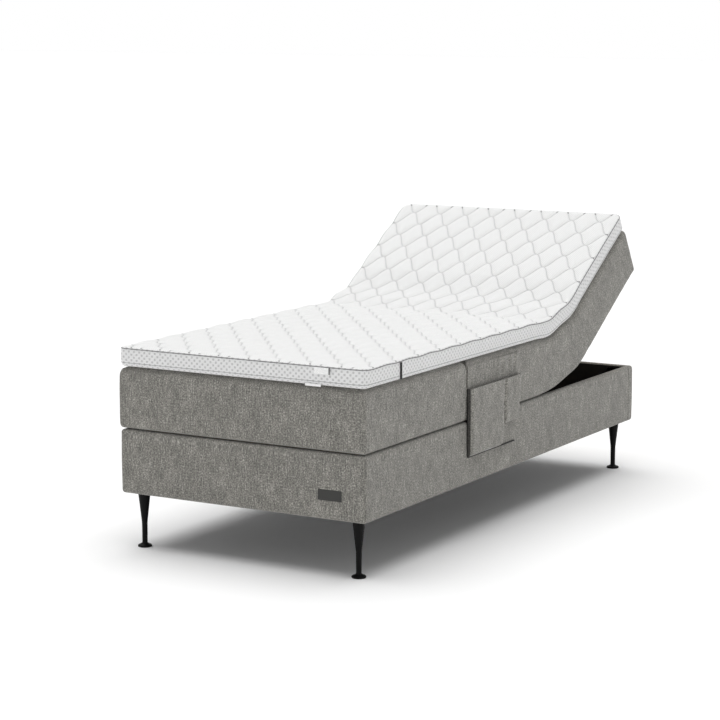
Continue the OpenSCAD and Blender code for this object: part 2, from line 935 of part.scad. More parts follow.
side_rails();
end_rails();
corner_blocks();
cover_left();
cover_right();
cover_foot();
cover_head();
box_lining();
dust_cover();
badge();
leg_foot_left();
leg_foot_right();
leg_head_left();
leg_head_right();
leg_glides();
leg_bolts();
leg_inserts();
support_ledges();
seat_crossbars();
seat_board();
block_seat();
topper_seat();
lift_bearings();
drive_tray();
drive_cover();
drive_hangers();
motor_back();
motor_leg();
spindles();
mains_inlet();
hip_slats();
block_hip();
topper_hip();
back_board();
back_lift_rails();
block_back();
topper_back();
thigh_board();
leg_lift_rails();
block_thigh();
topper_thigh();
knee_leaves_thigh();
knee_pins();
pocket_backing();
pocket_large();
pocket_small();
calf_board();
block_foot();
topper_foot();
knee_leaves_calf();
back_lift_frame();
back_lift_shoes();
leg_lift_frame();
leg_lift_shoes();
thrust_block_back();
thrust_block_leg();
handset_shell();
handset_buttons_head();
handset_buttons_legs();
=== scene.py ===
import json
import math

import bpy
import numpy as np
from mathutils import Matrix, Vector


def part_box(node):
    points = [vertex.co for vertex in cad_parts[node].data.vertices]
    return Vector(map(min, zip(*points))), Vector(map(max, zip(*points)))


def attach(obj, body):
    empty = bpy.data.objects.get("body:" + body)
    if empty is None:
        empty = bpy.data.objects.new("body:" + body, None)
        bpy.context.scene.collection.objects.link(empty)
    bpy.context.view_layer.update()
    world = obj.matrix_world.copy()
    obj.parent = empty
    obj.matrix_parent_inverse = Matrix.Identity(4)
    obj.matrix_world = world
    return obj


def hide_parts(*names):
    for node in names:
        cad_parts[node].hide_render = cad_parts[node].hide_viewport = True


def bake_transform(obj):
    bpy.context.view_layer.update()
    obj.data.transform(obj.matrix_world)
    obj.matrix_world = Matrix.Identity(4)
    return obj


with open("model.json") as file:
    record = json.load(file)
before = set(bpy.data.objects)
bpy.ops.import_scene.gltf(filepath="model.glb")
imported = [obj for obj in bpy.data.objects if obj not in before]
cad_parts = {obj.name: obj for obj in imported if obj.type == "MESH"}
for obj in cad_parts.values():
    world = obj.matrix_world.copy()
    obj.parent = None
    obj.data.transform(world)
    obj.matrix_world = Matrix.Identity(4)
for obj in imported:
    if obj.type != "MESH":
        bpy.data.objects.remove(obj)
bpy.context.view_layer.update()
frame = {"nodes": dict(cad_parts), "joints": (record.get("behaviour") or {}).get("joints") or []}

# ---------------------------------------------------------------- values from the frame

joints = {j["name"]: j for j in frame["joints"]}


def corners(node):
    """Lowest and highest corner of a CAD node, as two arrays."""
    lo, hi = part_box(node)
    return np.array(lo), np.array(hi)


RIGHT_LO, RIGHT_HI = corners("cover_right")
HALF_W = RIGHT_HI[0]
HALF_L = RIGHT_HI[1]
BOX_Z0, BOX_Z1 = RIGHT_LO[2], RIGHT_HI[2]
BLOCK_Z0, BLOCK_Z1 = corners("block_foot")[0][2], corners("block_foot")[1][2]
TOPPER_Z0, TOPPER_Z1 = corners("topper_foot")[0][2], corners("topper_foot")[1][2]
FOOT_END_Y = corners("block_foot")[1][1]
THIGH_END_Y = corners("block_thigh")[0][1]

LOWER = np.array(joints["back_raise"]["pos_m"][1:])
UPPER = np.array(joints["back_raise_upper"]["pos_m"][1:])
REST = -math.radians(joints["back_raise"]["range_deg"][0])
STEP = float(np.linalg.norm(UPPER - LOWER))
UPPER_FLAT = LOWER + np.array([STEP, 0.0])
THIGH_PIVOT = np.array(joints["thigh_raise"]["pos_m"][1:])
KNEE_PIVOT = np.array(joints["knee_bend"]["pos_m"][1:])

# half the length along the bed over which the soft pieces turn at each bend
BACK_REACH = STEP / 2
THIGH_REACH = 0.09
KNEE_REACH = 0.175
# places along the flat bed where a soft piece passes from one bend to the next
KNEE_CUT = THIGH_PIVOT[0] - 0.15
SEAT_CUT = LOWER[0] - 0.142
BACK_CUT = LOWER[0] + BACK_REACH
CUTS = (KNEE_CUT, SEAT_CUT, BACK_CUT)
PAST_ENDS = 9.0


# ---------------------------------------------------------------- the rest position

def smooth(t):
    """A soft rise from 0 to 1."""
    t = np.clip(t, 0, 1)
    return t * t * (3 - 2 * t)


def turn(p, centre, angle):
    """Points in Y and Z turned about a centre."""
    q = p - centre
    c, s = np.cos(angle), np.sin(angle)
    return centre + np.stack([q[:, 0] * c - q[:, 1] * s, q[:, 0] * s + q[:, 1] * c], 1)


ALONG_BED = np.array([1.0, 0.0])
ALONG_HIP = np.array([math.cos(REST), math.sin(REST)])


def zone(pivot, way, reach):
    """The two points in Y and Z between which a soft piece turns at a bend."""
    return pivot - way * reach, pivot + way * reach


ZONES = {
    ("calf", "thigh"): zone(np.array([KNEE_PIVOT[0], BLOCK_Z1]), ALONG_BED, KNEE_REACH),
    ("thigh", "base"): zone(THIGH_PIVOT, ALONG_BED, THIGH_REACH),
    ("base", "hip"): zone(LOWER, ALONG_HIP, BACK_REACH),
    ("hip", "back"): zone(UPPER, ALONG_HIP, BACK_REACH),
}


def share_at(p, bodies):
    """How far rest points have passed through a bend, from 0 to 1."""
    start, end = ZONES[bodies]
    way = end - start
    return smooth((p - start) @ way / (way @ way))


SETTLE_ROUNDS = 40


def settle(p, bodies, place):
    """The rest place of points whose turn depends on where they come to rest."""
    w = np.zeros(len(p))
    for _ in range(SETTLE_ROUNDS):
        w = share_at(place(p, w), bodies)
    return place(p, w)


def to_rest(points):
    """Takes points drawn on the flat bed to the raised rest position."""
    p = points[:, 1:]
    lower = settle(p, ("base", "hip"), lambda p, w: turn(p, LOWER, w * REST))
    upper = settle(p, ("hip", "back"),
                   lambda p, w: turn(turn(p, UPPER_FLAT, w * REST), LOWER, REST))
    yz = np.where((p[:, 0] <= BACK_CUT + 1e-9)[:, None], lower, upper)
    return np.column_stack([points[:, 0], yz])


# ---------------------------------------------------------------- meshes

def steps(lo, hi, pitch, edge=0.0, edge_steps=0, extra=()):
    """Places from lo to hi about a pitch apart, finer within edge of each end, and at extra ones."""
    a, b = lo + edge, hi - edge
    n = max(1, int(round((b - a) / pitch)))
    s = list(np.linspace(a, b, n + 1))
    if edge_steps:
        fine = edge * (1 - np.cos(np.linspace(0, np.pi / 2, edge_steps + 1)))[:-1]
        s = list(lo + fine) + s + list(hi - fine[::-1])
    for e in extra:
        i = int(np.argmin(np.abs(np.array(s) - e)))
        if 0 < i < len(s) - 1:
            s[i] = e
    return np.array(sorted(s))


TOP, BOTTOM, RIGHT, LEFT, HEAD, FOOT = range(6)


def shell(xs, ys, zs):
    """The outside of a lattice box: points, quads, and the side that each quad is on."""
    shape = (len(xs), len(ys), len(zs))
    inside = np.zeros(shape, bool)
    inside[1:-1, 1:-1, 1:-1] = True
    ids = np.full(shape, -1)
    ids[~inside] = np.arange((~inside).sum())
    grid = np.meshgrid(xs, ys, zs, indexing="ij")
    points = np.stack([g[~inside] for g in grid], 1)

    def quads(s, flip):
        q = np.stack([s[:-1, :-1], s[1:, :-1], s[1:, 1:], s[:-1, 1:]], -1).reshape(-1, 4)
        return q[:, ::-1] if flip else q

    sides = [quads(ids[:, :, -1], False), quads(ids[:, :, 0], True),
             quads(ids[-1], False), quads(ids[0], True),
             quads(ids[:, -1], True), quads(ids[:, 0], False)]
    side = np.concatenate([np.full(len(s), i) for i, s in enumerate(sides)])
    return points, np.concatenate(sides), side


def side_uv(points, quads, side):
    """Cloth coordinates in metres for every quad corner: round the sides and up, or along the top."""
    x, y, z = (points[quads][:, :, i] for i in range(3))
    right, foot = points[:, 0].max(), points[:, 1].min()
    u = np.select([(side == s)[:, None] for s in (RIGHT, LEFT, HEAD)],
                  [right + y - foot, -right - (y - foot), x + 4 * right], x)
    flat = ((side == TOP) | (side == BOTTOM))[:, None]
    return np.stack([u, np.where(flat, y, z)], -1)


def vertex_normals(points, quads):
    """The outward way at each point, from the quads round it."""
    a, b, c, d = (points[quads[:, i]] for i in range(4))
    n = np.cross(c - a, d - b)
    out = np.zeros_like(points)
    for i in range(4):
        np.add.at(out, quads[:, i], n)
    return out / np.maximum(np.linalg.norm(out, axis=1), 1e-12)[:, None]


def add_mesh(name, points, quads, materials, uv=None, slots=None, normals=None):
    """A mesh object with smooth shading. Slots give each quad's material, by number."""
    mesh = bpy.data.meshes.new(name)
    mesh.from_pydata(points.tolist(), [], quads.tolist())
    for m in materials:
        mesh.materials.append(m)
    if slots is not None:
        mesh.polygons.foreach_set("material_index", slots.astype(np.int32))
    if uv is not None:
        mesh.uv_layers.new(name="cloth").uv.foreach_set("vector", uv.astype(np.float32).ravel())
    mesh.polygons.foreach_set("use_smooth", np.ones(len(quads), bool))
    if normals is not None:
        mesh.normals_split_custom_set_from_vertices(normals.tolist())
    mesh.update()
    obj = bpy.data.objects.new(name, mesh)
    bpy.context.scene.collection.objects.link(obj)
    return obj


def bend_between(obj):
    """Bakes a piece's place into its points."""
    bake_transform(obj)


# a soft form's parts from foot to head: name, bodies on each side of its bend, places of its ends
ALL_PARTS = [
    ("foot", "calf", "thigh", -PAST_ENDS, KNEE_CUT),
    ("thigh", "thigh", "base", KNEE_CUT, SEAT_CUT),
    ("seat", "base", "hip", SEAT_CUT, BACK_CUT),
    ("back", "hip", "back", BACK_CUT, PAST_ENDS),
]


def add_bending(name, flat, quads, materials, uv, slots, parts):
    """One continuous soft form, drawn flat and set in the rest position, as pieces split at the bends."""
    points = to_rest(flat)
    normals = vertex_normals(points, quads)
    middle = flat[quads][:, :, 1].mean(1)
    made = []
    for part, a, b, y0, y1 in parts:
        keep = (middle > y0) & (middle < y1)
        used, where = np.unique(quads[keep], return_inverse=True)
        obj = add_mesh(f"{name}_{part}", points[used], where.reshape(-1, 4), materials,
                       uv[keep], slots[keep], normals[used])
        bend_between(obj)
        made.append(obj)
    return made


def round_plan(points, r):
    """Rounds a lattice box's corners in plan. Returns points, ways out at them, depths from the edge."""
    p = points.copy()
    lo, hi = p[:, :2].min(0), p[:, :2].max(0)
    mid, half = (lo + hi) / 2, (hi - lo) / 2
    q = p[:, :2] - mid
    past = np.maximum(np.abs(q) - (half - r), 0)
    length = np.linalg.norm(past, axis=1)
    most = past.max(1)
    k = np.where(length > 1e-9, most / np.maximum(length, 1e-9), 1)
    inner = np.clip(q, -(half - r), half - r)
    sign = np.sign(q)
    p[:, :2] = mid + inner + sign * past * k[:, None]
    depth = half - np.abs(q)
    way = np.where(length[:, None] > 1e-9, sign * past / np.maximum(length, 1e-9)[:, None], 0)
    return p, way, depth.min(1)


def round_edges(points, way, depth, r_top, r_bottom):
    """Rounds the top and bottom edges of a lattice box, by the ways and depths of round_plan."""
    p = points.copy()
    z0, z1 = p[:, 2].min(), p[:, 2].max()
    for z_edge, r, up in ((z1, r_top, 1), (z0, r_bottom, -1)):
        rise = (p[:, 2] - z_edge) * up + r
        inward = r - depth
        hit = (rise > 0) & (inward > 0)
        a, b = inward[hit], rise[hit]
        k = np.maximum(a, b) / np.hypot(a, b)
        p[hit, :2] += way[hit] * (a * k - a)[:, None]
        p[hit, 2] = z_edge + up * (b * k - r)
    return p


WAVES = 7


def waves(points, seed, size):
    """A soft unevenness from a few slow sine waves, from -1 to 1."""
    rng = np.random.default_rng(seed)
    out = np.zeros(len(points))
    for _ in range(WAVES):
        k = rng.normal(size=3) / size
        out += np.sin(points @ k * 2 * np.pi + rng.uniform(0, 2 * np.pi))
    return out / WAVES


ROUGH_SIZE = 0.16


def soft_box(lo, hi, pitch, plan_r, top_r, bottom_r, bulge, rough, seed, cuts=(), fine=6):
    """A padded box: lattice points, padded points, quads, sides, cloth coordinates."""
    edge = max(plan_r, top_r)
    xs = steps(lo[0], hi[0], pitch, edge, fine)
    ys = steps(lo[1], hi[1], pitch, edge, fine, cuts)
    zs = steps(lo[2], hi[2], pitch, max(top_r, bottom_r), fine)
    raw, quads, side = shell(xs, ys, zs)
    uv = side_uv(raw, quads, side)
    p, way, depth = round_plan(raw, plan_r)
    flat_way = np.zeros_like(way)
    half = (np.array(hi[:2]) - lo[:2]) / 2
    q = raw[:, :2] - (np.array(hi[:2]) + lo[:2]) / 2
    nearest = np.argmin(half - np.abs(q), axis=1)
    flat_way[np.arange(len(q)), nearest] = np.sign(q[np.arange(len(q)), nearest])
    way = np.where((np.abs(way).max(1) > 1e-9)[:, None], way, flat_way)
    p = round_edges(p, way, depth, top_r, bottom_r)
    v = (raw[:, 2] - lo[2]) / (hi[2] - lo[2])
    on_side = depth < 1e-6
    swell = bulge * (1 - (2 * v - 1) ** 2) + rough * waves(raw, seed, ROUGH_SIZE)
    p[on_side, :2] += way[on_side] * swell[on_side][:, None]
    return raw, p, quads, side, uv


CORNER_STEPS = 8
SEAM_REACH = 0.006
SEAM_DEPTH = 0.0022
SEAM_WIDTH = 0.0018
WALL_ROUND = 0.011
WALL_BULGE = 0.0012
WALL_ROUGH = 0.0007
# depth into the wall within which its cloth is on the outer face
OUTER_FACE = 0.004


def ring_line(half_w, half_l, r, pitch, seams):
    """The outer line of a frame in plan, finer at its seams: arc lengths, points, ways out, length."""
    hw, hl = half_w - r, half_l - r
    quarter = r * math.pi / 2
    sides = [2 * hl, quarter, 2 * hw, quarter] * 2
    ends = np.cumsum([0] + sides)
    s = []
    for i, length in enumerate(sides):
        n = CORNER_STEPS if length == quarter else max(CORNER_STEPS, int(length / pitch))
        s += list(ends[i] + length * np.arange(n) / n)
    for seam in seams:
        s += list(seam + np.linspace(-SEAM_REACH, SEAM_REACH, 7))
    s = np.array(sorted(set(np.round(s, 6))))
    starts = [(hw, -hl, 0), (hw, hl, 0), (hw, hl, 90), (-hw, hl, 90),
              (-hw, hl, 180), (-hw, -hl, 180), (-hw, -hl, 270), (hw, -hl, 270)]
    at, way = [], []
    for v in s:
        i = min(len(sides) - 1, int(np.searchsorted(ends, v, side="right")) - 1)
        past = v - ends[i]
        x, y, angle = starts[i]
        round_corner = i % 2
        a = math.radians(angle) + (past / r if round_corner else 0)
        n = np.array([math.cos(a), math.sin(a)])
        t = np.array([-n[1], n[0]])
        at.append(np.array([x, y]) + t * (0 if round_corner else past) + n * r)
        way.append(n)
    return s, np.array(at), np.array(way), ends[-1]


def ring_section(wall, z0, z1, r, pitch):
    """A closed section through a padded wall: depth into the wall and height, with round corners."""
    section = []
    for cx, cz, a0 in ((r, z1 - r, 0), (wall - r, z1 - r, 90), (wall - r, z0 + r, 180), (r, z0 + r, 270)):
        for a in np.radians(np.linspace(a0, a0 + 90, 6)):
            section.append((cx - r * math.cos(a), cz + r * math.sin(a)))
    section = np.array(section)
    dense = [section[0]]
    for p, q in zip(section, np.roll(section, -1, axis=0)):
        n = max(1, int(np.linalg.norm(q - p) / pitch))
        dense += [p + (q - p) * i / n for i in range(1, n + 1)]
    return np.array(dense[:-1])


def ring_uv(s, whole, section):
    """Cloth coordinates in metres: round the frame, and round its section."""
    su = np.append(s, whole)
    arc = np.concatenate([[0], np.cumsum(np.linalg.norm(np.diff(section, axis=0), axis=1))])
    arc = np.append(arc, arc[-1] + 0.005)
    u = np.stack([su[:-1], su[1:], su[1:], su[:-1]], 1)[:, None, :]
    w = np.stack([arc[:-1], arc[:-1], arc[1:], arc[1:]], 1)[None, :, :]
    return np.stack(np.broadcast_arrays(u, -w), -1).reshape(-1, 4, 2)


def ring_box(half_w, half_l, wall, z0, z1, corner_r, pitch, seams):
    """An upholstered frame: a padded wall round a rectangle, as points, quads and coordinates."""
    s, at, way, whole = ring_line(half_w, half_l, corner_r, pitch, seams)
    section = ring_section(wall, z0, z1, WALL_ROUND, pitch)
    m, n = len(s), len(section)
    points = np.zeros((m, n, 3))
    for j, (depth, z) in enumerate(section):
        points[:, j, :2] = at - way * depth
        points[:, j, 2] = z
    v = (section[:, 1] - z0) / (z1 - z0)
    swell = WALL_BULGE * (1 - (2 * v - 1) ** 2)
    swell = swell[None, :] + WALL_ROUGH * waves(points.reshape(-1, 3), 5, 0.17).reshape(m, n)
    for seam in seams:
        swell -= SEAM_DEPTH * np.exp(-((s - seam) / SEAM_WIDTH) ** 2)[:, None]
    outer = section[:, 0] < OUTER_FACE
    points[:, outer, :2] += way[:, None, :] * swell[:, outer, None]
    ids = np.arange(m * n).reshape(m, n)
    a, b = np.roll(ids, -1, 0), np.roll(ids, -1, 1)
    quads = np.stack([ids, a, np.roll(a, -1, 1), b], -1).reshape(-1, 4)
    return points.reshape(-1, 3), quads[:, ::-1], ring_uv(s, whole, section)[:, ::-1]


def lathe(name, profile, x, y, material, sides=40):
    """A turned piece from points of radius and height."""
    profile = np.array(profile)
    a = np.arange(sides) * 2 * np.pi / sides
    heights = np.tile(profile[:, 1], (sides, 1))
    points = np.stack([np.outer(np.cos(a), profile[:, 0]) + x, np.outer(np.sin(a), profile[:, 0]) + y,
                       heights], -1).reshape(-1, 3)
    ids = np.arange(sides * len(profile)).reshape(sides, len(profile))
    nxt = np.roll(ids, -1, 0)
    quads = np.stack([ids[:, :-1], nxt[:, :-1], nxt[:, 1:], ids[:, 1:]], -1).reshape(-1, 4)
    return add_mesh(name, points, quads, [material])


def soften(obj, angle=0.7):
    """Keeps sharp edges where faces meet at more than an angle in radians."""
    obj.data.set_sharp_from_angle(angle=angle)


def fillet(profile, r, n=5):
    """Rounds the inner corners of a profile."""
    p = np.array(profile, float)
    out = [p[0]]
    for a, b, c in zip(p[:-2], p[1:-1], p[2:]):
        u, v = a - b, c - b
        cut = min(r, np.linalg.norm(u) / 2, np.linalg.norm(v) / 2)
        u, v = b + u / np.linalg.norm(u) * cut, b + v / np.linalg.norm(v) * cut
        for t in np.linspace(0, 1, n):
            out.append((1 - t) ** 2 * u + 2 * t * (1 - t) * b + t ** 2 * v)
    return out + [p[-1]]


# ---------------------------------------------------------------- materials

class Tree:
    """A material's nodes, with short ways to add and join them."""

    def __init__(self, name, colour, roughness=0.8, metallic=0.0, **more):
        self.material = bpy.data.materials.new(name)
        self.material.use_nodes = True
        self.nodes = self.material.node_tree.nodes
        self.links = self.material.node_tree.links
        self.shader = self.nodes["Principled BSDF"]
        self.put(self.shader, "Base Color", (*colour, 1))
        self.put(self.shader, "Roughness", roughness)
        self.put(self.shader, "Metallic", metallic)
        for key, value in more.items():
            self.put(self.shader, key.replace("_", " "), value)

    def put(self, node, key, value):
        """Joins a socket to an input, or sets the input to a constant."""
        if isinstance(value, bpy.types.NodeSocket):
            self.links.new(value, node.inputs[key])
        else:
            node.inputs[key].default_value = value

    def add(self, kind, out=0, inputs=(), **settings):
        """A new node with its settings and inputs. Returns one of its outputs."""
        node = self.nodes.new(kind)
        for key, value in settings.items():
            setattr(node, key, value)
        for key, value in dict(inputs).items():
            self.put(node, key, value)
        return node.outputs[out]

    def math(self, operation, *values):
        return self.add("ShaderNodeMath", inputs=list(enumerate(values)), operation=operation)

    def cloth(self, su=1.0, sv=1.0):
        """The cloth coordinates in metres, scaled."""
        uv = self.add("ShaderNodeUVMap", uv_map="cloth")
        return self.add("ShaderNodeVectorMath", inputs={0: uv, 1: (su, sv, 1)}, operation="MULTIPLY")

    def place(self, sx=1.0, sy=1.0, sz=1.0):
        """The object's own coordinates in metres, scaled."""
        at = self.add("ShaderNodeTexCoord", out="Object")
        return self.add("ShaderNodeVectorMath", inputs={0: at, 1: (sx, sy, sz)}, operation="MULTIPLY")

    def noise(self, vector, detail=4.0, rough=0.55, scale=1.0):
        return self.add("ShaderNodeTexNoise", out="Fac",
                        inputs={"Vector": vector, "Scale": scale, "Detail": detail, "Roughness": rough})

    def ramp(self, value, *stops):
        """Colours blended by a value, from stops of place and colour."""
        node = self.nodes.new("ShaderNodeValToRGB")
        self.links.new(value, node.inputs[0])
        elements = node.color_ramp.elements
        while len(elements) < len(stops):
            elements.new(0.5)
        for element, (at, colour) in zip(elements, stops):
            element.position = at
            element.color = (*colour, 1)
        return node.outputs[0]

    def mix(self, share, a, b, kind="MIX"):
        node = self.nodes.new("ShaderNodeMix")
        node.data_type = "RGBA"
        node.blend_type = kind
        for socket, value in zip((node.inputs[0], node.inputs[6], node.inputs[7]), (share, a, b)):
            if isinstance(value, bpy.types.NodeSocket):
                self.links.new(value, socket)
            else:
                socket.default_value = value if socket.type == "VALUE" else (*value, 1)
        return node.outputs[2]

    def bump(self, height, distance, strength=1.0, under=None):
        inputs = {"Height": height, "Distance": distance, "Strength": strength}
        if under is not None:
            inputs["Normal"] = under
        return self.add("ShaderNodeBump", inputs=inputs)

    def soft_step(self, value, lo, hi):
        """A soft rise from 0 to 1 as a value goes from lo to hi."""
        return self.add("ShaderNodeMapRange", inputs={0: value, 1: lo, 2: hi},
                        interpolation_type="SMOOTHSTEP")

    def finish(self, colour=None, normal=None, roughness=None):
        for key, value in (("Base Color", colour), ("Normal", normal), ("Roughness", roughness)):
            if value is not None:
                self.put(self.shader, key, value)
        return self.material


def grey(v):
    return (v, v, v)


def chenille(name, tint=1.0):
    """Grey pile cloth: short upright streaks and light flecks, mottled where the pile lies differently."""
    t = Tree(name, (0.22, 0.213, 0.192), 0.95, Sheen_Weight=0.25, Sheen_Roughness=0.5)
    fleck = t.noise(t.cloth(250, 190), 2, 0.6)
    streak = t.noise(t.cloth(210, 26), 3, 0.6)
    mottle = t.noise(t.cloth(24, 16), 5, 0.65)
    cloud = t.noise(t.cloth(6, 4.5), 3, 0.5)
    colour = (0.208 * tint, 0.201 * tint, 0.181 * tint)
    for layer in (t.ramp(fleck, (0.32, grey(0.50)), (0.5, grey(0.92)), (0.68, grey(1.75))),
                  t.ramp(streak, (0.33, grey(0.70)), (0.67, grey(1.34))),
                  t.ramp(mottle, (0.34, grey(0.84)), (0.66, grey(1.19))),
                  t.ramp(cloud, (0.3, grey(0.93)), (0.7, grey(1.07)))):
        colour = t.mix(1.0, colour, layer, "MULTIPLY")
    normal = t.bump(t.noise(t.cloth(30, 16), 3, 0.5), 0.0012, 0.5)
    normal = t.bump(streak, 0.0010, 0.5, normal)
    normal = t.bump(fleck, 0.0010, 0.7, normal)
    return t.finish(colour, normal, t.ramp(mottle, (0.3, grey(0.86)), (0.7, grey(0.98))))


# the stitched waves: length of a wave across the bed, rows along it, height of a wave
QUILT_PITCH = 0.110
QUILT_ROW = 0.070
QUILT_WAVE = 0.035
# the knitted top, and the honeycomb of the band, across and up
KNIT_PITCH = 0.0074
MESH_PITCH = (0.0200, 0.0180)
# the stitched lines' painted grey, painted shade in their grooves, is darker within this distance of the
# topper's edge
EDGE_IN = 0.014
PLY = 0.0036


def quilt_distance(x, y):
    """Distance from the nearest stitched line of the topper's scale pattern."""
    k = 2 * np.pi / QUILT_PITCH
    wave = QUILT_WAVE * np.cos(k * x)
    steep = QUILT_WAVE * k * np.sin(k * x)

    def off(v):
        return np.abs((v + QUILT_ROW) % (2 * QUILT_ROW) - QUILT_ROW)

    return np.minimum(off(y - wave), off(y - QUILT_ROW + wave)) / np.sqrt(1 + steep ** 2)


def knit(t, across, up):
    """A staggered grid of dots, from -1 to 1, that repeats across and up the cloth."""
    sep = t.add("ShaderNodeSeparateXYZ", inputs={0: t.cloth(2 * math.pi / across, 2 * math.pi / up)})
    u, v = sep, sep.node.outputs[1]
    return t.math("MULTIPLY", t.math("COSINE", u), t.math("COSINE", v))


def quilted(name):
    """White knitted top of the topper, with its stitched lines painted grey and the knit's dimples painted
    darker, both as painted shade.
    """
    t = Tree(name, (0.8, 0.8, 0.79), 0.85, Sheen_Weight=0.2, Sheen_Roughness=0.4)
    k = 2 * math.pi / QUILT_PITCH
    sep = t.add("ShaderNodeSeparateXYZ", inputs={0: t.cloth()})
    x, y = sep, sep.node.outputs[1]
    turned = t.math("MULTIPLY", x, k)
    wave = t.math("MULTIPLY", t.math("COSINE", turned), QUILT_WAVE)
    steep = t.math("MULTIPLY", t.math("SINE", turned), QUILT_WAVE * k)
    slope = t.math("SQRT", t.math("ADD", t.math("MULTIPLY", steep, steep), 1.0))

    def off(v):
        return t.math("ABSOLUTE", t.math("WRAP", v, QUILT_ROW, -QUILT_ROW))

    even = off(t.math("SUBTRACT", y, wave))
    odd = off(t.math("ADD", t.math("SUBTRACT", y, QUILT_ROW), wave))
    far = t.math("DIVIDE", t.math("MINIMUM", even, odd), slope)
    line = t.soft_step(far, 0.0004, 0.0042)
    dots = knit(t, KNIT_PITCH, KNIT_PITCH)
    fuzz = t.noise(t.cloth(900, 900), 2, 0.5)
    # the knit's dimples painted darker: painted shade
    dimple_shade = t.ramp(t.math("MULTIPLY_ADD", dots, 0.5, 0.5), (0.05, grey(0.83)), (0.5, grey(1.0)))
    across = t.math("SUBTRACT", t.math("ABSOLUTE", x), HALF_W - EDGE_IN)
    along = t.math("SUBTRACT", t.math("ABSOLUTE", y), HALF_L - EDGE_IN)
    rim = t.math("GREATER_THAN", t.math("MAXIMUM", across, along), 0.0)
    # the stitched lines painted grey, darker near the edge: painted shade in their grooves
    stitch_groove_shade = t.mix(rim, grey(0.78), grey(0.30))
    colour = t.mix(line, stitch_groove_shade, (0.93, 0.932, 0.926))
    colour = t.mix(1.0, colour, dimple_shade, "MULTIPLY")
    colour = t.mix(0.25, colour, t.ramp(fuzz, (0.3, grey(0.8)), (0.6, grey(1.0))), "MULTIPLY")
    normal = t.bump(line, 0.0020, 0.8)
    normal = t.bump(dots, 0.0013, 0.7, normal)
    normal = t.bump(fuzz, 0.0004, 0.4, normal)
    return t.finish(colour, normal)


def spacer(name):
    """White mesh band of the topper with its honeycomb of small hollows, which are painted grey as painted
    shade.
    """
    t = Tree(name, (0.8, 0.8, 0.79), 0.8, Sheen_Weight=0.15)
    dots = knit(t, *MESH_PITCH)
    hole = t.math("SUBTRACT", 1.0, t.soft_step(dots, 0.0, 0.9))
    weave = t.noise(t.cloth(1100, 700), 2, 0.5)
    # the hollows painted grey: painted shade
    colour = t.mix(hole, grey(0.60), grey(0.84))
    colour = t.mix(0.4, colour, t.ramp(weave, (0.3, grey(0.7)), (0.65, grey(1.0))), "MULTIPLY")
    normal = t.bump(hole, 0.0022, 0.8)
    normal = t.bump(weave, 0.0005, 0.5, normal)
    return t.finish(colour, normal)


def plain_cloth(name, colour, weave=700, rough=0.9):
    """Plainly woven cloth, with a number of threads to the metre."""
    t = Tree(name, colour, rough, Sheen_Weight=0.1)
    threads = t.noise(t.place(weave, weave, weave * 0.5), 2, 0.5)
    shade = t.ramp(threads, (0.3, grey(0.75)), (0.65, grey(1.1)))
    return t.finish(t.mix(1.0, colour, shade, "MULTIPLY"), t.bump(threads, 0.0006, 0.5))


def timber(name, colour, stretch=(26, 1.6, 26), layers=False):
    """Wood with its grain along the bed, or plywood with its layers at the edge."""
    t = Tree(name, colour, 0.6)
    at = t.place(*stretch)
    grain = t.noise(at, 6, 0.6, 1.4)
    rings = t.add("ShaderNodeTexWave", out="Fac", wave_type="BANDS", bands_direction="X",
                  inputs={"Vector": at, "Scale": 0.5, "Distortion": 7.0, "Detail": 3.0})
    dark = tuple(c * 0.55 for c in colour)
    col = t.mix(t.ramp(rings, (0.2, grey(0.0)), (0.9, grey(0.5))), colour, dark)
    col = t.mix(t.ramp(grain, (0.35, grey(0.0)), (0.75, grey(0.6))), col, dark)
    if layers:
        sep = t.add("ShaderNodeSeparateXYZ", inputs={0: t.place()})
        ply = t.math("SINE", t.math("MULTIPLY", sep.node.outputs[2], 2 * math.pi / PLY))
        col = t.mix(t.ramp(ply, (0.4, grey(0.0)), (0.6, grey(0.16))), col, dark)
    return t.finish(col, t.bump(grain, 0.0008, 0.4), t.ramp(grain, (0.3, grey(0.5)), (0.7, grey(0.72))))


def metal(name, colour, rough=0.35, brushed=(4, 4, 300), metallic=1.0):
    """Metal with worn places and brushed lines."""
    t = Tree(name, colour, rough, metallic)
    lines = t.noise(t.place(*brushed), 3, 0.6)
    wear = t.noise(t.place(22, 22, 22), 4, 0.6)
    shade = t.ramp(wear, (0.3, grey(0.82)), (0.7, grey(1.08)))
    return t.finish(t.mix(1.0, colour, shade, "MULTIPLY"), t.bump(lines, 0.0002, 0.25),
                    t.ramp(wear, (0.3, grey(rough * 0.8)), (0.7, grey(min(1, rough * 1.3)))))


def moulded(name, colour, rough=0.5, **more):
    """Moulded plastic, rubber or powder coat, with a fine grain."""
    t = Tree(name, colour, rough, **more)
    grain = t.noise(t.place(1500, 1500, 1500), 2, 0.5)
    hand = t.noise(t.place(18, 18, 18), 4, 0.6)
    shade = t.ramp(hand, (0.3, grey(0.88)), (0.7, grey(1.12)))
    return t.finish(t.mix(1.0, colour, shade, "MULTIPLY"), t.bump(grain, 0.00025, 0.35),
                    t.ramp(hand, (0.3, grey(rough * 0.85)), (0.7, grey(min(1, rough * 1.15)))))


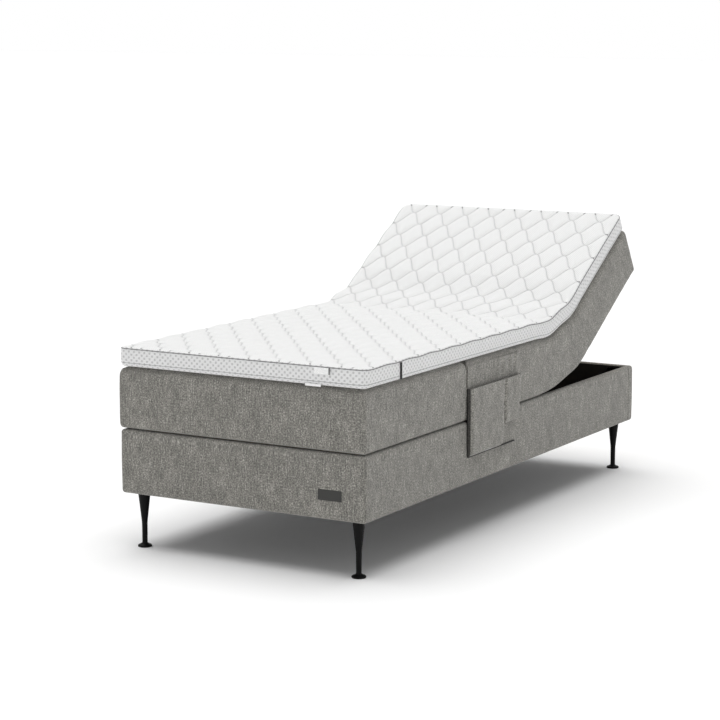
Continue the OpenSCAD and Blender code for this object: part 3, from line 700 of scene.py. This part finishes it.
upholstery = chenille("grey_chenille")
pocket_cloth = chenille("grey_chenille_pocket", 1.04)
# the gusset's chenille darkened to 0.30 of its tone: painted shade on the pocket's foot-side wall
gusset_painted_shade_cloth = chenille("grey_chenille_shaded", 0.30)
topper_top = quilted("topper_quilting")
topper_band = spacer("topper_mesh_band")
# also the dark strip at the label's fold, which is painted shadow
piping_and_painted_shadow_cloth = plain_cloth("piping_grey", (0.22, 0.22, 0.22))
seam_cloth = plain_cloth("seam_light_grey", (0.46, 0.46, 0.46))
white_cloth = plain_cloth("topper_underside", (0.74, 0.74, 0.73))
# also the black strips by the pocket, which are painted shadow
black_cloth = plain_cloth("black_lining", (0.010, 0.010, 0.010), 500)
label_cloth = plain_cloth("label_white", (0.97, 0.97, 0.965), 1400)
strap_cloth = plain_cloth("strap_black", (0.012, 0.012, 0.012), 1200)
leg_paint = moulded("leg_black_paint", (0.0025, 0.0025, 0.0025), 0.45, Specular_IOR_Level=0.12)
badge_plate = metal("badge_dark_plate", (0.055, 0.055, 0.052), 0.5, (3, 3, 260), 0.6)

node_materials = {
    timber("pine", (0.52, 0.36, 0.19)): ["support_ledges", "seat_crossbars"],
    timber("pine_stained", (0.022, 0.020, 0.019)): ["side_rails", "end_rails", "corner_blocks"],
    timber("birch_plywood", (0.55, 0.40, 0.23), (18, 1.2, 18), True): [
        "seat_board", "hip_slats", "back_board", "thigh_board", "calf_board"],
    black_cloth: ["box_lining", "dust_cover"],
    metal("zinc_steel", (0.52, 0.53, 0.55), 0.32): [
        "leg_bolts", "leg_inserts", "knee_leaves_thigh", "knee_leaves_calf", "knee_pins", "spindles"],
    moulded("lift_black_coat", (0.020, 0.020, 0.021), 0.38): ["back_lift_frame", "leg_lift_frame"],
    moulded("nylon_natural", (0.55, 0.53, 0.47), 0.42): [
        "lift_bearings", "back_lift_rails", "leg_lift_rails", "back_lift_shoes", "leg_lift_shoes",
        "thrust_block_back", "thrust_block_leg"],
    moulded("drive_plastic", (0.030, 0.030, 0.032), 0.55): [
        "drive_tray", "drive_cover", "drive_hangers", "mains_inlet"],
    metal("motor_aluminium", (0.42, 0.42, 0.43), 0.45, (3, 260, 3)): ["motor_back", "motor_leg"],
    moulded("button_rubber", (0.09, 0.10, 0.11), 0.7): ["handset_buttons_head", "handset_buttons_legs"],
}
for material, names in node_materials.items():
    for node in names:
        slots = frame["nodes"][node].data.materials
        slots.clear()
        slots.append(material)

# ---------------------------------------------------------------- mattress block

BLOCK_PITCH = 0.014
BLOCK_CORNER = 0.005
BLOCK_BOTTOM_R = 0.015
# the cover is pulled up a little under the lower bend
PULL_UP = 0.007
PULL_AT = LOWER[0] + 0.012
PULL_REACH = 0.055


def long_block():
    """The block from the knee slit to the head, raised twice at the hips in its rest position."""
    raw, flat, quads, _, uv = soft_box(
        (-HALF_W, THIGH_END_Y, BLOCK_Z0), (HALF_W, HALF_L, BLOCK_Z1), BLOCK_PITCH, BLOCK_CORNER,
        0.028, BLOCK_BOTTOM_R, bulge=0.0015, rough=0.0018, seed=3, cuts=CUTS)
    height = (raw[:, 2] - BLOCK_Z0) / (BLOCK_Z1 - BLOCK_Z0)
    flat[:, 2] += PULL_UP * np.exp(-((raw[:, 1] - PULL_AT) / PULL_REACH) ** 2) * (1 - height) ** 2
    parts = [("thigh", "thigh", "base", -PAST_ENDS, SEAT_CUT)] + ALL_PARTS[2:]
    made = add_bending("mattress_block", flat, quads, [upholstery], uv, np.zeros(len(quads)),
                       parts)
    for obj, nodes in zip(made, (("block_thigh", "block_seat"), ("block_hip",), ("block_back",))):
        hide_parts(*nodes)


def foot_block():
    """The block from the foot to the knee slit."""
    _, flat, quads, _, uv = soft_box(
        (-HALF_W, -HALF_L, BLOCK_Z0), (HALF_W, FOOT_END_Y, BLOCK_Z1), BLOCK_PITCH, BLOCK_CORNER,
        0.030, BLOCK_BOTTOM_R, bulge=0.0015, rough=0.0015, seed=4)
    obj = add_mesh("mattress_block_foot", flat, quads, [upholstery], uv)
    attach(obj, "calf")
    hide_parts("block_foot")


long_block()
foot_block()

# ---------------------------------------------------------------- topper

TOPPER_CORNER = 0.022
TOPPER_PITCH = 0.0062
ON_FACE = 1e-6
PUFF = 0.0084
PUFF_REACH = 0.013
STITCH_DEPTH = 0.0036
LOW_SEAM = TOPPER_Z0 + 0.0125
LOOP_PITCH = 0.012


def scallop(points):
    """The topper's long edges dip and draw in where the stitched lines run out."""
    dip = 0.5 + 0.5 * np.cos((points[:, 1] - QUILT_ROW / 2) * np.pi / QUILT_ROW)
    near = np.exp(-np.maximum(HALF_W - np.abs(points[:, 0]), 0) / 0.035)
    height = np.clip((points[:, 2] - TOPPER_Z0) / (TOPPER_Z1 - TOPPER_Z0), 0, 1)
    out = points.copy()
    out[:, 2] += 0.0036 * (0.35 - dip) * near * height
    out[:, 0] += np.sign(points[:, 0]) * 0.0060 * (0.25 - dip) * near * height * (1.3 - height)
    return out


def quilt_top(raw, flat):
    """Puffs the topper's top between its stitched lines, and not at its edge."""
    edge_in = np.minimum(HALF_W - np.abs(raw[:, 0]), HALF_L - np.abs(raw[:, 1]))
    on_top = raw[:, 2] > TOPPER_Z1 - ON_FACE
    far = quilt_distance(flat[:, 0], flat[:, 1])
    puff = PUFF * (1 - np.exp(-far / PUFF_REACH)) - STITCH_DEPTH
    rim = smooth((edge_in - 0.004) / 0.022)
    flat[on_top, 2] += (rim * puff)[on_top]
    flat[on_top, 2] += (0.0018 * waves(raw, 11, 0.35) * rim)[on_top]


def seam_groove(raw, flat):
    """Draws the band in along the line sewn low on it."""
    groove = 0.0016 * np.exp(-((flat[:, 2] - LOW_SEAM) / 0.0028) ** 2)
    on_side = HALF_W - np.abs(raw[:, 0]) < ON_FACE
    on_end = (HALF_L - np.abs(raw[:, 1]) < ON_FACE) & ~on_side
    flat[on_side, 0] -= (np.sign(raw[:, 0]) * groove)[on_side]
    flat[on_end, 1] -= (np.sign(raw[:, 1]) * groove)[on_end]


def topper_pad():
    """The quilted topper, one form over the whole bed."""
    raw, flat, quads, side, uv = soft_box(
        (-HALF_W, -HALF_L, TOPPER_Z0), (HALF_W, HALF_L, TOPPER_Z1), TOPPER_PITCH, TOPPER_CORNER,
        0.008, 0.010, bulge=0.0022, rough=0.0004, seed=7, cuts=CUTS, fine=12)
    quilt_top(raw, flat)
    flat = scallop(flat)
    seam_groove(raw, flat)
    kinds = np.select([side == TOP, side == BOTTOM], [0, 2], 1)
    uv = np.where((side == TOP)[:, None, None], flat[quads][:, :, :2], uv)
    made = add_bending("topper_pad", flat, quads, [topper_top, topper_band, white_cloth], uv, kinds,
                       ALL_PARTS)
    for obj, nodes in zip(made, (("topper_foot",), ("topper_thigh", "topper_seat"),
                                 ("topper_hip",), ("topper_back",))):
        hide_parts(*nodes)


def loop_line(hw, hl, r, pitch):
    """A rounded rectangle in plan, right side first: points and the outward way at each."""
    rows = steps(-hl + r, hl - r, pitch, extra=CUTS)
    cols = np.linspace(-hw + r, hw - r, int(2 * (hw - r) / pitch))
    runs = ([(hw, y) for y in rows[1:]], [(x, hl) for x in cols[-2::-1]],
            [(-hw, y) for y in rows[-2::-1]], [(x, -hl) for x in cols[1:]])
    middles = ((hw - r, hl - r), (-hw + r, hl - r), (-hw + r, -hl + r), (hw - r, -hl + r))
    line, way = [], []
    for quarter, (run, (x, y)) in enumerate(zip(runs, middles)):
        arc = np.radians(90 * quarter + np.linspace(0, 90, 13))
        line += run
        way += [(math.cos(arc[0]), math.sin(arc[0]))] * len(run)
        for a in arc[1:]:
            line.append((x + r * math.cos(a), y + r * math.sin(a)))
            way.append((math.cos(a), math.sin(a)))
    return np.array(line), np.array(way)


def loop_tube(name, inset, z, r, sides, material):
    """A thin cord sewn round the topper, drawn flat, in pieces split at the bends."""
    line, way = loop_line(HALF_W - inset, HALF_L - inset, TOPPER_CORNER - inset, LOOP_PITCH)
    a = np.arange(sides) * 2 * np.pi / sides
    points = np.zeros((len(line), sides, 3))
    points[:, :, :2] = line[:, None, :] + way[:, None, :] * (r * np.cos(a))[None, :, None]
    points[:, :, 2] = z + r * np.sin(a)[None, :]
    points = points.reshape(-1, 3)
    ids = np.arange(len(points)).reshape(len(line), sides)
    nxt = np.roll(ids, -1, 0)
    quads = np.stack([ids, np.roll(ids, -1, 1), np.roll(nxt, -1, 1), nxt], -1).reshape(-1, 4)[:, ::-1]
    add_bending(name, scallop(points), quads, [material], points[quads][:, :, :2], np.zeros(len(quads)),
                ALL_PARTS)


topper_pad()
loop_tube("topper_piping", -0.0006, TOPPER_Z1 - 0.0058, 0.0015, 8, piping_and_painted_shadow_cloth)
loop_tube("topper_low_seam", -0.0008, LOW_SEAM, 0.0012, 6, seam_cloth)

# ---------------------------------------------------------------- box

SEAM_IN = 0.032
CORNER_R = 0.011
BOX_PITCH = 0.012


def box_seams():
    """Where the cloth is joined, as lengths round the box from its right foot corner."""
    straight_l = 2 * (HALF_L - CORNER_R)
    straight_w = 2 * (HALF_W - CORNER_R)
    turn_l = CORNER_R * math.pi / 2
    head_left = straight_l + turn_l + straight_w + turn_l + SEAM_IN
    foot_right = 2 * (straight_l + straight_w + 2 * turn_l) - turn_l / 2
    foot_left = foot_right - straight_w - turn_l
    return straight_l - SEAM_IN, head_left, foot_left, foot_right


def box_upholstery():
    """The padded cloth round the box, over the rails."""
    wall = HALF_W - RIGHT_LO[0]
    points, quads, uv = ring_box(HALF_W, HALF_L, wall, BOX_Z0, BOX_Z1, CORNER_R, BOX_PITCH, box_seams())
    obj = add_mesh("box_upholstery", points, quads, [upholstery], uv)
    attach(obj, "base")
    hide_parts("cover_left", "cover_right", "cover_foot", "cover_head")


box_upholstery()


def small_piece(name, lo, hi, r, pitch, material, body, fine=3):
    """A small rounded piece from its corners."""
    lo, hi = np.minimum(lo, hi), np.maximum(lo, hi)
    points, quads, side = shell(*(steps(a, b, pitch, r, fine) for a, b in zip(lo, hi)))
    inner = np.clip(points, lo + r, hi - r)
    d = points - inner
    n = np.linalg.norm(d, axis=1)
    k = np.abs(d).max(1) / np.maximum(n, 1e-12)
    points = inner + d * k[:, None]
    obj = add_mesh(name, points, quads, [material], side_uv(points, quads, side))
    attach(obj, body)
    return obj


RIB = 0.001
RIM_IN = 0.004


def badge():
    """The blank plate on the foot face, with a raised rim."""
    lo, hi = corners("badge")
    plate = small_piece("badge_plate", lo, hi + (0, 0.001, 0), 0.0009, 0.004, badge_plate, "base")
    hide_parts("badge")
    face_y = lo[1] - 0.0003
    x0, x1 = lo[0] + RIM_IN, hi[0] - RIM_IN
    z0, z1 = lo[2] + RIM_IN, hi[2] - RIM_IN
    ribs = ((x0, z0, x1, z0 + RIB), (x0, z1 - RIB, x1, z1),
            (x0, z0, x0 + RIB, z1), (x1 - RIB, z0, x1, z1))
    for i, (left, low, right, high) in enumerate(ribs):
        small_piece(f"badge_rib_{i}", (left, face_y, low), (right, face_y + RIB, high), 0.0003, 0.004,
                    badge_plate, "base", 2)


badge()

# ---------------------------------------------------------------- legs

LEG_TOP = corners("leg_foot_left")[1][2]
TOP_R, SLIM_R, GLIDE_R, TAPER_L = 0.0202, 0.0086, 0.0228, 0.100
AXIS_R = 0.0002
LEG_PROFILE = fillet([
    (AXIS_R, LEG_TOP), (TOP_R + 0.0010, LEG_TOP), (TOP_R + 0.0010, LEG_TOP - 0.0035),
    (TOP_R - 0.0004, LEG_TOP - 0.0042), (SLIM_R + 0.0005, LEG_TOP - TAPER_L), (SLIM_R, 0.020),
    (SLIM_R + 0.0002, 0.0125), (SLIM_R + 0.0045, 0.0095), (GLIDE_R - 0.0016, 0.0062),
    (GLIDE_R, 0.0048), (GLIDE_R, 0.0012), (GLIDE_R - 0.0012, 0.0), (AXIS_R, 0.0)], 0.0025, 5)


def turned_leg(node):
    """A slim leg with a collar under the box and a flared glide."""
    lo, hi = corners(node)
    x, y = (lo[:2] + hi[:2]) / 2
    leg = lathe(node + "_turned", LEG_PROFILE[::-1], x, y, leg_paint)
    soften(leg)
    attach(leg, "base")
    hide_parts(node, "leg_glides")


for node in ("leg_foot_left", "leg_foot_right", "leg_head_left", "leg_head_right"):
    turned_leg(node)

# ---------------------------------------------------------------- pocket

BACK_LO, BACK_HI = corners("pocket_backing")
CLOTH_T = BACK_HI[0] - BACK_LO[0]
POCKET_Z = BACK_LO[2]
POUCH_TOP = corners("pocket_large")[1][2]
HEM_RISE = 0.012
HEM_IN = 0.030
# how far a pouch stands off where it is sewn, as a share of its depth: foot, head and bottom edges
LARGE_EDGES = (0.70, 0.45, 0.20)
SMALL_EDGES = (0.40, 0.15, 0.50)
STITCH_IN = 0.007
STITCH_W = 0.002
HEM_BAND = 0.020
POCKET_PITCH = 0.006
POCKET_EDGE = 0.004
FOLD_PITCH = 0.047


def hang(points):
    """Lifts the pocket's lower edge and leans its head side in, as the cloth hangs."""
    share = (points[:, 1] - BACK_LO[1]) / (BACK_HI[1] - BACK_LO[1])
    low = np.clip(1 - (points[:, 2] - POCKET_Z) / (POUCH_TOP - POCKET_Z), 0, 1)
    out = points.copy()
    out[:, 2] += HEM_RISE * low ** 3
    out[:, 1] -= HEM_IN * share ** 3 * low
    return out


def sew(name, points, quads, uv, material):
    """A piece of the pocket, which hangs from the thigh part of the block."""
    obj = add_mesh(name, hang(points), quads, [material], uv)
    soften(obj, 1.2)
    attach(obj, "thigh")
    return obj


def ridge(at, width):
    """A narrow ridge with its top where a distance is nothing."""
    return np.exp(-(at / width) ** 2)


def pocket_face(name, node, width, edges):
    """The front of a pouch: sewn down at the sides and foot, standing off at the open top."""
    lo, hi = corners(node)
    ys = steps(lo[1], hi[1], POCKET_PITCH, POCKET_EDGE, 3)
    zs = steps(lo[2], hi[2], POCKET_PITCH, POCKET_EDGE, 3)
    points, quads, side = shell(np.array([0.0, CLOTH_T / 2, CLOTH_T]), ys, zs)
    uv = side_uv(points, quads, side)
    y, z = points[:, 1], points[:, 2]
    fall = np.ones(len(points))
    for keep, way in zip(edges, (y - lo[1], hi[1] - y, z - lo[2])):
        fall *= keep + (1 - keep) * smooth(way / width)
    stand_off = hi[0] - lo[0] - CLOTH_T
    depth = stand_off * fall
    depth += 0.0012 * (1 + waves(points * (0, 1, 1), 21 + len(node), 0.09)) * fall
    hem = ridge(z - hi[2] + HEM_BAND, 0.0022) + ridge(z - lo[2] - STITCH_IN, STITCH_W)
    hem += ridge(y - lo[1] - STITCH_IN, STITCH_W) + ridge(y - hi[1] + STITCH_IN, STITCH_W)
    front = points[:, 0] > CLOTH_T * 0.9
    points[:, 0] += lo[0] + depth - 0.0009 * hem * front
    obj = sew(name, points, quads, uv, pocket_cloth)
    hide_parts(node)


def pocket_back():
    """The panel that hangs down the side, with soft folds where it comes out under the topper."""
    xs = np.array([BACK_LO[0], (BACK_LO[0] + BACK_HI[0]) / 2, BACK_HI[0]])
    ys = steps(BACK_LO[1], BACK_HI[1], POCKET_PITCH, POCKET_EDGE, 3)
    zs = steps(BACK_LO[2], BACK_HI[2], 0.009, POCKET_EDGE, 3)
    points, quads, side = shell(xs, ys, zs)
    uv = side_uv(points, quads, side)
    high = smooth((points[:, 2] - BACK_HI[2] + 0.09) / 0.07)
    folds = np.sin(points[:, 1] * 2 * np.pi / FOLD_PITCH + 3 * waves(points, 41, 0.1))
    # no folds at the foot side, where the handset is drawn out
    clear = smooth((points[:, 1] + 0.185) / 0.09)
    points[:, 0] += 0.0016 * high * clear * (1 + folds)
    obj = sew("pocket_panel", points, quads, uv, pocket_cloth)
    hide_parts("pocket_backing")


def pocket_strip(name, lo, hi, material):
    """A narrow strip of the pocket: its gusset, or a dark strip of painted shadow."""
    points, quads, side = shell(*(steps(a, b, 0.005) for a, b in zip(lo, hi)))
    return sew(name, points, quads, side_uv(points, quads, side), material)


def pocket_edges():
    """The gusset that closes the large pocket towards the foot end, darkened as painted shade, and the
    black strips of painted shadow at its root and under the panel.
    """
    lo, hi = corners("pocket_large")
    root = BACK_LO[0] + 0.0006
    gusset_out = lo[0] + (hi[0] - lo[0] - CLOTH_T) * LARGE_EDGES[0]
    # the gusset is painted darker: painted shade
    pocket_strip("pocket_gusset", (lo[0], lo[1] - 0.0014, POCKET_Z + 0.001),
                 (gusset_out, lo[1] + 0.0002, hi[2]), gusset_painted_shade_cloth)
    # a black strip at the gusset's root: painted shadow of the slit and of the pocket's edge
    pocket_strip("pocket_gusset_binding", (root, BACK_LO[1] - 0.0014, POCKET_Z),
                 (lo[0] + 0.0012, BACK_LO[1] - 0.0002, hi[2]), black_cloth)
    # a black strip under the panel's bottom edge: painted shadow
    pocket_strip("pocket_binding", (root, BACK_LO[1] + 0.001, POCKET_Z - 0.0030),
                 (lo[0] + 0.0050, BACK_HI[1] - 0.001, POCKET_Z - 0.0002), black_cloth)


pocket_back()
pocket_face("pocket_large_front", "pocket_large", 0.012, LARGE_EDGES)
pocket_face("pocket_small_front", "pocket_small", 0.010, SMALL_EDGES)
pocket_edges()

# ---------------------------------------------------------------- labels and strap

FOOT_FACE = -HALF_L - 0.0020
SIDE_FACE = HALF_W + 0.0012
LABEL_T = 0.0022
LABEL_OFF = 0.0020


def cloth_tab(name, lo, hi, material):
    """A small sewn label or strap."""
    obj = small_piece(name, lo, hi, 0.0005, 0.004, material, "calf", 2)


cloth_tab("topper_label", (0.276, FOOT_FACE - LABEL_T - LABEL_OFF, TOPPER_Z0 + 0.0365),
          (0.327, FOOT_FACE - LABEL_OFF, TOPPER_Z0 + 0.0560), label_cloth)
# a dark grey strip at the label's right edge: painted shadow of its fold
cloth_tab("topper_label_fold", (0.3272, FOOT_FACE - 0.0060, TOPPER_Z0 + 0.0360),
          (0.3292, FOOT_FACE + 0.001, TOPPER_Z0 + 0.0565), piping_and_painted_shadow_cloth)
cloth_tab("topper_tag", (0.243, FOOT_FACE - LABEL_T, TOPPER_Z0 - 0.003),
          (0.298, FOOT_FACE, TOPPER_Z0 + 0.0045), label_cloth)
cloth_tab("topper_strap", (SIDE_FACE, -0.790, TOPPER_Z0 + 0.002),
          (SIDE_FACE + LABEL_T + 0.001, -0.782, TOPPER_Z1 - 0.009), strap_cloth)

# ---------------------------------------------------------------- handset


def handset():
    """The handset's body, with round edges."""
    lo, hi = corners("handset_shell")
    plastic = moulded("handset_plastic", (0.42, 0.42, 0.44), 0.4)
    body = small_piece("handset_body", lo, hi, 0.0035, 0.006, plastic, "handset", 5)
    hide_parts("handset_shell")


handset()

# ---------------------------------------------------------------- stage, light, camera

FLOOR_REACH = 60
FLOOR_WHITE = 0.95
HORIZON_LIGHT = 1.0
SKY_LIGHT = 0.28
# heights of the view, as a sine, between which the sky dims
FADE = (0.20, 0.36)


def studio_floor():
    """A wide plain floor, nearly white."""
    paint = Tree("studio_floor", grey(FLOOR_WHITE), 0.9)
    unevenness = paint.noise(paint.place(3, 3, 3), 2, 0.5)
    paint.finish(paint.ramp(unevenness, (0.3, grey(FLOOR_WHITE - 0.005)), (0.7, grey(FLOOR_WHITE))))
    r = FLOOR_REACH
    mesh = bpy.data.meshes.new("studio_floor")
    mesh.from_pydata([(-r, -r, 0), (r, -r, 0), (r, r, 0), (-r, r, 0)], [], [(0, 1, 2, 3)])
    mesh.materials.append(paint.material)
    floor = bpy.data.objects.new("studio_floor", mesh)
    bpy.context.scene.collection.objects.link(floor)
    return floor


def studio_world():
    """White near the horizon and dimmer above, so that the overhead light gives the shadows."""
    world = bpy.data.worlds.new("studio")
    world.use_nodes = True
    nodes, links = world.node_tree.nodes, world.node_tree.links
    way = nodes.new("ShaderNodeTexCoord")
    split = nodes.new("ShaderNodeSeparateXYZ")
    fade = nodes.new("ShaderNodeMapRange")
    fade.interpolation_type = "SMOOTHSTEP"
    fade.inputs["From Min"].default_value = FADE[0]
    fade.inputs["From Max"].default_value = FADE[1]
    fade.inputs["To Min"].default_value = HORIZON_LIGHT
    fade.inputs["To Max"].default_value = SKY_LIGHT
    links.new(way.outputs["Generated"], split.inputs[0])
    links.new(split.outputs["Z"], fade.inputs["Value"])
    links.new(fade.outputs["Result"], nodes["Background"].inputs["Strength"])
    nodes["Background"].inputs["Color"].default_value = (1, 1, 1, 1)
    return world


def soft_sun(name, way, spread, strength):
    """An overhead light with soft shadows, its spread in degrees."""
    data = bpy.data.lights.new(name, "SUN")
    data.energy = strength
    data.angle = math.radians(spread)
    obj = bpy.data.objects.new(name, data)
    bpy.context.scene.collection.objects.link(obj)
    obj.rotation_euler = Vector(way).to_track_quat("-Z", "Y").to_euler()


def photo_camera():
    """The camera from which the reference picture was taken, as solved from the bed's outline."""
    data = bpy.data.cameras.new("camera")
    data.lens = 111.96
    data.sensor_width = 36
    camera = bpy.data.objects.new("camera", data)
    bpy.context.scene.collection.objects.link(camera)
    camera.location = (3.7276, -6.6631, 1.7154)
    camera.rotation_euler = (math.radians(81.01), 0, math.radians(30.197))
    return camera


floor = studio_floor()
bpy.context.scene.world = studio_world()
soft_sun("overhead", (0.10, -0.06, -1), 66, 2.66)
bpy.context.scene.camera = photo_camera()
bpy.context.scene.view_settings.view_transform = "Standard"
